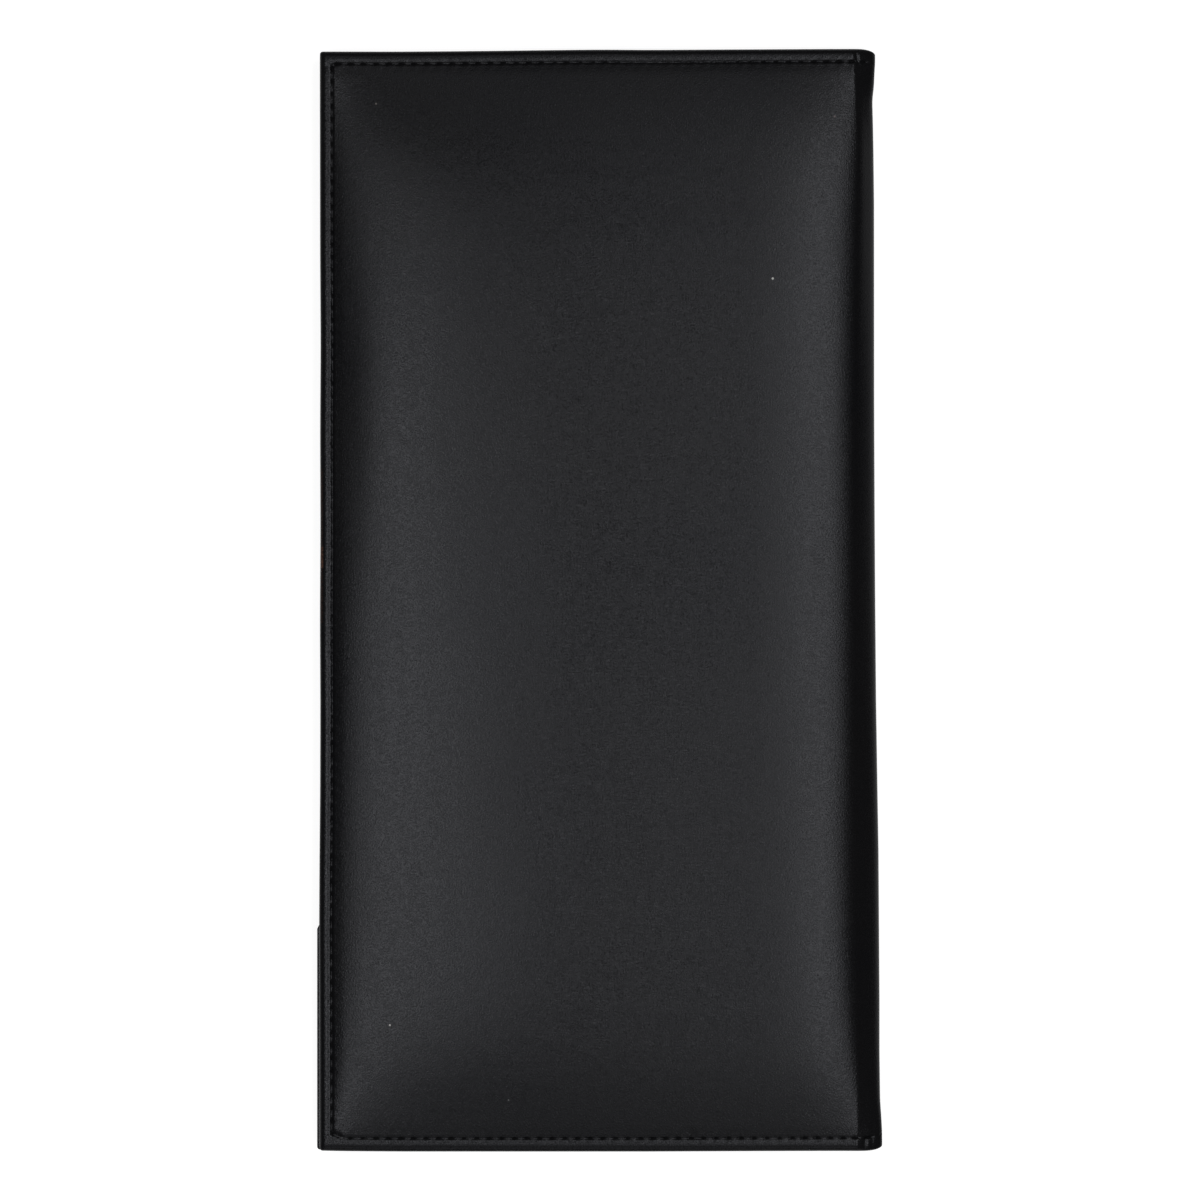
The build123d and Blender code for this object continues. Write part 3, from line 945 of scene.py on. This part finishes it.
# Pockets

pocketCut = dict(
    left=folder["left"] + 1.2,
    right=54.5,
    low=-125.8,
    ease=4.0,          # how much wider the flat sheet is than its place
    thick=0.5,
    mouthThick=0.7,
    mouthHem=8.0,
    rise=6.5,          # depth of the sheet's face below the crown
    deepest=6.93,
    edgeRound=0.3,     # rounding of its edges and corners
    sag=0.75,          # how far the sheet is pulled down along its own seams
    sagFrom=1.5,       # inset where the sag starts to fade, and how far that takes
    sagWide=3.2,
    sideDent=0.12,     # grooves along the side seam and along the others
    seamDent=0.1,
    dentWide=0.35,
    belly=0.12,        # rise of the loose middle, and how far in from the seams it is full
    bellyWide=20.0,
    seamX=52.5,
    mouthSeam=2.0,
    lowSeam=2.0,
    notchRadius=9.0,
    notchDeep=6.0,
)
# name, low edge, mouth, sewn along its low edge, thumb notch, in the front cover
pockets = [
    ("check", pocketCut["low"], -30.0, False, False, False),
    ("tip", pocketCut["low"], -50.0, False, False, True),
    ("card", -46.0, 8.0, True, True, True),
]


def pocketPoints(low, mouth, sewnLow, notch, isFront):
    # point grids of a pocket's face and back, with lines that follow its edges and notch
    cut = pocketCut
    edge = [0, 0.04, 0.14, 0.3, 0.7, 1.2, 1.5, 1.8, 2.4, 3.2, 4.4, 6, 8]
    notchHalf = [1.5, 3, 4, 5, 6, 7, 7.6, 8, 8.25, 8.5, 8.75, 9, 9.5]
    xs = [cut["left"] + v for v in edge]
    xs += np.arange(cut["left"] + 10, -10.5, 2.4).tolist()
    xs += [-v for v in notchHalf[::-1]] + [0] + notchHalf
    xs += np.arange(12, cut["right"] - 9.5, 2.4).tolist()
    xs += [cut["right"] - v for v in edge[::-1]]
    hemEdge = [0, 0.04, 0.14, 0.35, 0.8, 1.4, 1.75, 2.0, 2.25, 2.6, 4, 6, 7.6, 7.95, 8.05, 8.6]
    lowEdge = [0, 0.05, 0.2, 0.6, 1.1, 1.5, 1.9, 2.4, 3.2, 4.5, 7, 10, 12.4, 12.9, 13.4, 13.9, 14.5]
    ys = [low + v for v in lowEdge]
    ys += np.arange(low + 17, mouth - 11, 3.0).tolist()
    ys += [mouth - v for v in hemEdge[::-1]]
    x, y = np.meshgrid(xs, ys)
    fromMouth = mouth - y
    fromRight = cut["right"] - x
    fromLeft = x - cut["left"]
    fromRim = x - folder["left"]
    fromLow = y - low
    soft = cut["edgeRound"]
    inset = smoothMin(smoothMin(fromMouth, fromRight, soft), smoothMin(fromLeft, fromLow, soft), soft)
    roundness = quarterRound(np.clip(1 - inset / soft, 0, 1))
    hem = 1 - smoothStep((fromMouth - cut["mouthHem"]) / 0.1)
    face = cut["rise"] + (cut["mouthThick"] - cut["thick"]) * hem * smoothStep((fromRim - 3.2) / 0.3)
    # it sags to the board along its right seam, but not where that crosses the turned-in skin
    onTurnIn = 1 - smoothStep((folder["end"] - np.abs(y) - folder["turnIn"] - 0.1) / 1.6)
    sag = (1 - smoothStep((fromRight - cut["sagFrom"]) / cut["sagWide"])) * (1 - onTurnIn)
    if sewnLow:
        lowSag = 1 - smoothStep((fromLow - cut["sagFrom"]) / cut["sagWide"])
        sag = np.maximum(sag, lowSag * smoothStep((fromRim - 15) / 3))
    face = face - cut["sag"] * sag
    face = face - cut["sideDent"] * bump(fromRight - cut["right"] + cut["seamX"], cut["dentWide"])
    face = face - cut["seamDent"] * bump(fromMouth - cut["mouthSeam"], cut["dentWide"])
    face = face - cut["seamDent"] * bump(fromRim - cover["needleInset"], 0.4)
    # the loose middle bellies out a little between the seams
    wide = cut["bellyWide"]
    belly = smoothStep((fromRight - 4) / wide) * smoothStep((fromLeft - 8) / wide)
    face = face + cut["belly"] * belly * (1 + 0.5 * ripple(x, y))
    middle = np.minimum(face, cut["deepest"]) - cut["thick"] / 2
    half = (cut["thick"] / 2 + 0.1 * hem) * np.maximum(roundness, 0.02)
    if notch:
        bite = np.sqrt(np.clip(cut["notchRadius"] ** 2 - x**2, 0, None))
        bite = np.clip(bite - (cut["notchRadius"] - cut["notchDeep"]), 0, None)
        y = y - bite * (1 - smoothStep(fromMouth / 16))
    shiftX, shiftY = settle(x, y, isFront)
    sides = (middle + half, middle - half)
    return [np.stack([x + shiftX, y + shiftY, heightAt(side, isFront)], axis=-1) for side in sides]


for kind, low, mouth, sewnLow, notch, isFront in pockets:
    grids = pocketPoints(low, mouth, sewnLow, notch, isFront)
    piece = closedSheet(kind + "_slip_pocket", *grids, isFront, pocketHide)
    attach(piece, coverBody(isFront))
    wide = pocketCut["right"] - pocketCut["left"] + pocketCut["ease"]
    flat = (wide * mm, (mouth - low + pocketCut["mouthHem"]) * mm)
    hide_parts(kind + "_pocket")
print("pockets made")


# Stitches

stitch = dict(
    length=1.9,
    width=0.48,
    slant=9.0,         # degrees between a stitch and its seam, and how much that varies
    jitter=0.10,
    dip=0.30,          # how deep a stitch's two ends go in
    lowest=0.14,       # how far above the bottom of a pinch it lies
    lastY=123.4,       # none lies past this in the long seams
)
flatStitch = dict(stitch, dip=0.16, slant=5.0, width=0.40)


def stitchTree():
    # a run of stitches along each line of the input, each lying on its "seat" normal
    tree = bpy.data.node_groups.new("stitchRun", "GeometryNodeTree")
    board = Board(tree)
    face = tree.interface
    face.new_socket("Geometry", in_out="INPUT", socket_type="NodeSocketGeometry")
    for name in ("Pitch", "Length", "Width", "Dip", "Slant", "Jitter"):
        face.new_socket(name, in_out="INPUT", socket_type="NodeSocketFloat")
    face.new_socket("Seed", in_out="INPUT", socket_type="NodeSocketInt")
    face.new_socket("Thread", in_out="INPUT", socket_type="NodeSocketMaterial")
    face.new_socket("Geometry", in_out="OUTPUT", socket_type="NodeSocketGeometry")
    given = tree.nodes.new("NodeGroupInput")
    ask = {s.name: Sock(board, s) for s in given.outputs if s.name}
    curve = board.node("GeometryNodeMeshToCurve", {}, {"Mesh": ask["Geometry"]})
    spaced = {"Curve": curve, "Length": ask["Pitch"]}
    run = board.node("GeometryNodeResampleCurve", {"mode": "LENGTH"}, spaced)
    kind = {"data_type": "FLOAT_VECTOR"}
    seat = board.node("GeometryNodeInputNamedAttribute", kind, {"Name": "seat"})
    upright = board.node("FunctionNodeAlignRotationToVector", {"axis": "Z"}, {"Vector": seat})
    tangent = board.node("GeometryNodeInputTangent")
    laid = board.node(
        "FunctionNodeAlignRotationToVector",
        {"axis": "X", "pivot_axis": "Z"},
        {"Rotation": upright, "Vector": tangent},
    )
    ends = {2: -1.0, 3: 1.0, "Seed": ask["Seed"]}
    spread = board.node("FunctionNodeRandomValue", {"data_type": "FLOAT"}, ends, out=1)
    lean = board.node("ShaderNodeCombineXYZ", {}, {"Z": ask["Slant"] + spread * ask["Jitter"]})
    turned = board.node("FunctionNodeEulerToRotation", {}, {"Euler": lean})
    facing = board.node(
        "FunctionNodeRotateRotation",
        {"rotation_space": "LOCAL"},
        {"Rotation": laid, "Rotate By": turned},
    )
    sunk = ask["Dip"] * -1
    startPoint = board.node("ShaderNodeCombineXYZ", {}, {"X": ask["Length"] * -0.5, "Z": sunk})
    topPoint = board.node("ShaderNodeCombineXYZ", {}, {"Z": ask["Dip"] * 1.15})
    endPoint = board.node("ShaderNodeCombineXYZ", {}, {"X": ask["Length"] * 0.5, "Z": sunk})
    arch = board.node(
        "GeometryNodeCurveQuadraticBezier",
        {},
        {"Resolution": 8, "Start": startPoint, "Middle": topPoint, "End": endPoint},
    )
    section = {"Resolution": 6, "Radius": ask["Width"] * 0.5}
    ring = board.node("GeometryNodeCurvePrimitiveCircle", {}, section)
    swept = {"Curve": arch, "Profile Curve": ring, "Fill Caps": True}
    strand = board.node("GeometryNodeCurveToMesh", {}, swept)
    soft = board.node("GeometryNodeSetShadeSmooth", {}, {"Geometry": strand})
    row = {"Points": run, "Instance": soft, "Rotation": facing}
    placed = board.node("GeometryNodeInstanceOnPoints", {}, row)
    real = board.node("GeometryNodeRealizeInstances", {}, {"Geometry": placed})
    dressed = board.node("GeometryNodeSetMaterial", {}, {"Geometry": real, "Material": ask["Thread"]})
    board.node("NodeGroupOutput", {}, {"Geometry": dressed})
    return tree


stitchNodes = stitchTree()


def sew(name, runs, isFront, seed, pitch, look):
    # runs is a list of (points, normals); the first and last points are stitch centres
    points, normals, edges = [], [], []
    for path, seat in runs:
        base = len(points)
        places = np.array(path, float)
        shift = settle(places[:, 0], places[:, 1], isFront)
        places[:, :2] += np.stack(shift, axis=-1)
        points += (places * mm).tolist()
        normals += [tuple(n) for n in seat]
        edges += [(base + i, base + i + 1) for i in range(len(path) - 1)]
    mesh = bpy.data.meshes.new(name)
    mesh.from_pydata(points, edges, [])
    seats = mesh.attributes.new("seat", "FLOAT_VECTOR", "POINT")
    seats.data.foreach_set("vector", np.array(normals, np.float32).ravel())
    mesh.materials.append(sewingThread)
    run = addObject(name + "_run", mesh)
    modifier = run.modifiers.new("stitches", "NODES")
    modifier.node_group = stitchNodes
    values = dict(
        Pitch=pitch * 0.9999 * mm,   # so that the last stitch isn't lost to rounding
        Length=look["length"] * mm,
        Width=look["width"] * mm,
        Dip=look["dip"] * mm,
        Slant=math.radians(look["slant"]),
        Jitter=look["jitter"],
        Seed=seed,
        Thread=sewingThread,
    )
    for item in stitchNodes.interface.items_tree:
        if item.in_out == "INPUT" and item.name in values:
            modifier[item.identifier] = values[item.name]
    bpy.context.view_layer.update()
    solid = evaluatedMesh(run)
    run.modifiers.remove(modifier)
    bpy.data.objects.remove(run)
    solid.name = name
    return addObject(name, solid)


def longRow():
    # the places along Y of the stitches in a cover's long seam
    ys = np.arange(-seamHalf + cover["pitchAlong"] / 2, seamHalf, cover["pitchAlong"])
    return ys[np.abs(ys) < stitch["lastY"]]


def flatRun(points, up):
    return points, [(0, 0, up)] * len(points)


def rollPlace(s, top):
    # across, depth and slope at a length s round the roll, for skin that starts at depth top
    share = np.interp(s, rollAt, rollDown) / rollDown[-1]
    turn = math.radians(np.interp(s, *zip(*rollTurns)))
    return rollStart + np.interp(s, rollAt, rollAcross), top + (halfThick - top) * share, turn


def needleRuns(isFront):
    # the outer thread of a cover's rim
    up = 1 if isFront else -1
    pitch = cover["pitchAcross"]
    seat = folder["hemTop"] + cover["grooveDeep"] + cover["pinchDeep"] - stitch["lowest"]
    side, nearEnd, farEnd = cover["seamInset"]
    z = heightAt(seat, isFront)
    runs = [flatRun([(folder["left"] + side, y, z) for y in longRow()], up)]
    first = folder["left"] + cover["needleInset"] + pitch / 2
    for endY in (nearEnd - folder["end"], folder["end"] - farEnd):
        path, seats = flatRun([(x, endY, z) for x in np.arange(first, rollStart - 0.2, pitch)], up)
        for s in np.linspace(0, rollAt[-1], 60)[1:]:
            x, depth, turn = rollPlace(s, seat)
            path.append((x, endY, heightAt(depth, isFront)))
            seats.append((math.sin(turn), 0, up * math.cos(turn)))
        # cut the run to whole pitches
        gone = np.concatenate([[0], np.cumsum(np.linalg.norm(np.diff(path, axis=0), axis=1))])
        whole = math.floor((gone[-1] - pitch / 2) / pitch) * pitch
        kept = np.count_nonzero(gone <= whole + 1e-6)
        runs.append((path[:kept], seats[:kept]))
    return runs


def bobbinRuns(isFront):
    # the inner thread of a cover's rim, which lies on the pockets where it crosses them
    up = -1 if isFront else 1
    pitch = cover["pitchAcross"]
    crossed = [(low, mouth) for _, low, mouth, _, _, inFront in pockets if inFront == isFront]

    def level(y):
        onPocket = any(low < y < mouth for low, mouth in crossed)
        onSheet = pocketCut["rise"] - pocketCut["seamDent"]
        depth = onSheet if onPocket else folder["liningFace"]
        return heightAt(depth + 0.02, isFront)

    seamX = folder["left"] + cover["needleInset"]
    groups = []
    for y in longRow():
        if groups and abs(level(groups[-1][-1]) - level(y)) < 0.01:
            groups[-1].append(y)
        else:
            groups.append([y])
    runs = [flatRun([(seamX, y, level(y)) for y in group], up) for group in groups if len(group) > 1]
    off = 2 * cover["skin"] + 0.02
    for side in (-1, 1):
        y = side * (folder["end"] - cover["needleInset"])
        xs = np.arange(seamX + pitch / 2, folder["boardRim"] - 1.5, pitch)
        runs.append(flatRun([(x, y, level(y)) for x in xs], up))
        # on over the turned-in end of the spine
        flatXs = np.arange(xs[-1] + pitch, rollStart, 0.7)
        path, seats = flatRun([(x, y, heightAt(folder["hemBottom"], isFront)) for x in flatXs], up)
        for s in np.linspace(0, rollAt[-1] - 1.0, 30):
            x, depth, turn = rollPlace(s, folder["hemTop"])
            x = x - off * math.sin(turn)
            if path and x <= path[-1][0]:
                continue
            path.append((x, y, heightAt(depth + off * math.cos(turn), isFront)))
            seats.append((-math.sin(turn), 0, up * math.cos(turn)))
        runs.append((path, seats))
    return runs


def pocketRuns(low, mouth, sewnLow, notch, isFront):
    # the thread along a pocket's right side, its hemmed mouth and its low edge
    cut = pocketCut
    up = -1 if isFront else 1
    pitch = cover["pitchAcross"]
    sideLevel = heightAt(cut["rise"] - cut["sag"] - 0.06, isFront)
    mouthLevel = heightAt(cut["rise"] + cut["mouthThick"] - cut["thick"] - 0.04, isFront)
    bottom = low + (cut["lowSeam"] if sewnLow else 14.5)
    y = mouth - cut["mouthSeam"]
    runs = [flatRun([(cut["seamX"], v, sideLevel) for v in np.arange(y - pitch, bottom, -pitch)], up)]
    start, end = folder["left"] + 4.6, cut["seamX"] - 3.4
    for a, b in [(start, -10.5), (10.5, end)] if notch else [(start, end)]:
        runs.append(flatRun([(x, y, mouthLevel) for x in np.arange(a, b, pitch)], up))
    if sewnLow:
        xs = np.arange(folder["left"] + 19.5, cut["seamX"] - 1, pitch)
        runs.append(flatRun([(x, low + cut["lowSeam"], sideLevel) for x in xs], up))
    return runs


for side, isFront in bothSides:
    rows = (
        ("needle", needleRuns(isFront), 3, stitch),
        ("bobbin", bobbinRuns(isFront), 5, flatStitch),
    )
    for kind, runs, seed, look in rows:
        name = side + "_" + kind + "_stitches"
        piece = sew(name, runs, isFront, seed, cover["pitchAlong"], look)
        crossSpine(piece, isFront)
        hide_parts(side + "_" + kind + "_thread", "spine_" + kind + "_thread")
for kind, low, mouth, sewnLow, notch, isFront in pockets:
    runs = pocketRuns(low, mouth, sewnLow, notch, isFront)
    name = kind + "_pocket_stitches"
    piece = sew(name, runs, isFront, 9, cover["pitchAcross"], flatStitch)
    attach(piece, coverBody(isFront))
    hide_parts(kind + "_pocket_thread")
print("stitches sewn")


# Studio

studio = dict(
    world=0.12,
    floor=0.42,        # the floor's own grey
    floorGlow=0.80,    # added to it where the camera sees it, and in reflections
    floorShine=0.35,
    floorHalf=6000.0,
    lens=200.0,
    wide=276.35,       # width of the view at the upper hem
    middleX=0.23,
    middleY=0.08,
    level=10.0,
)
lamps = [
    # name, place, aim, width, length, watts
    ("leftPanel", (-0.29, -0.08, 1.0), (-0.03, -0.02, 0), 0.30, 0.56, 3.0),
    ("rightPanel", (0.30, 0.0, 1.0), (0.03, 0, 0), 0.30, 1.00, 5.2),
    ("farPanel", (0.0, 0.62, 1.0), (0, 0, 0), 0.70, 0.30, 0.6),
    ("nearPanel", (0.0, -0.62, 1.0), (0, 0, 0), 0.70, 0.30, 0.5),
    ("lowPanel", (0.0, -1.05, 0.62), (0, 0, 0), 0.70, 0.40, 1.0),
]

world = bpy.data.worlds.new("studioWorld")
bpy.context.scene.world = world
world.use_nodes = True
sky = Board(world.node_tree)
rays = sky.node("ShaderNodeLightPath", out="Is Camera Ray")
fill = sky.node("ShaderNodeBackground", {}, {"Color": (1, 1, 1, 1), "Strength": studio["world"]})
backdrop = sky.node("ShaderNodeBackground", {}, {"Color": (1, 1, 1, 1), "Strength": 1.0})
both = sky.node("ShaderNodeMixShader", {}, {0: rays, 1: fill, 2: backdrop})
sky.node("ShaderNodeOutputWorld", {}, {"Surface": both})

floorPaint, paint = newMaterial("paleFloor")
seen = paint.node("ShaderNodeLightPath", out="Is Camera Ray")
mirrored = seen.sibling("Is Glossy Ray")
matt = paint.node("ShaderNodeBsdfDiffuse", {}, {"Color": (studio["floor"],) * 3 + (1,)})
strength = seen * studio["floorGlow"] + mirrored * studio["floorShine"]
glow = paint.node("ShaderNodeEmission", {}, {"Color": (1, 1, 1, 1), "Strength": strength})
floorSum = paint.node("ShaderNodeAddShader", {}, {0: matt, 1: glow})
paint.node("ShaderNodeOutputMaterial", {}, {"Surface": floorSum})
far = studio["floorHalf"]
corners = [(x, y, -0.05) for x, y in ((-far, -far), (far, -far), (far, far), (-far, far))]
floor = makeObject("studioFloor", corners, [(0, 1, 2, 3)], floorPaint)

for name, place, aim, wide, long, watts in lamps:
    data = bpy.data.lights.new(name, "AREA")
    data.shape = "RECTANGLE"
    data.size = wide
    data.size_y = long
    data.energy = watts
    lamp = addObject(name, data)
    lamp.location = place
    # its length stays along Y
    back = (Vector(place) - Vector(aim)).normalized()
    across = Vector((0, 1, 0)).cross(back).normalized()
    turned = Matrix((across, back.cross(across), back)).transposed()
    lamp.rotation_mode = "QUATERNION"
    lamp.rotation_quaternion = turned.to_quaternion()

camera = bpy.data.cameras.new("camera")
camera.lens = studio["lens"]
camera.sensor_width = 36
away = studio["wide"] * camera.lens / camera.sensor_width
camera.clip_start = 0.1
camera.clip_end = 100
eye = addObject("camera", camera)
eye.location = (studio["middleX"] * mm, studio["middleY"] * mm, (away + studio["level"]) * mm)
bpy.context.scene.camera = eye
bpy.context.scene.view_settings.view_transform = "Standard"
print("studio ready")
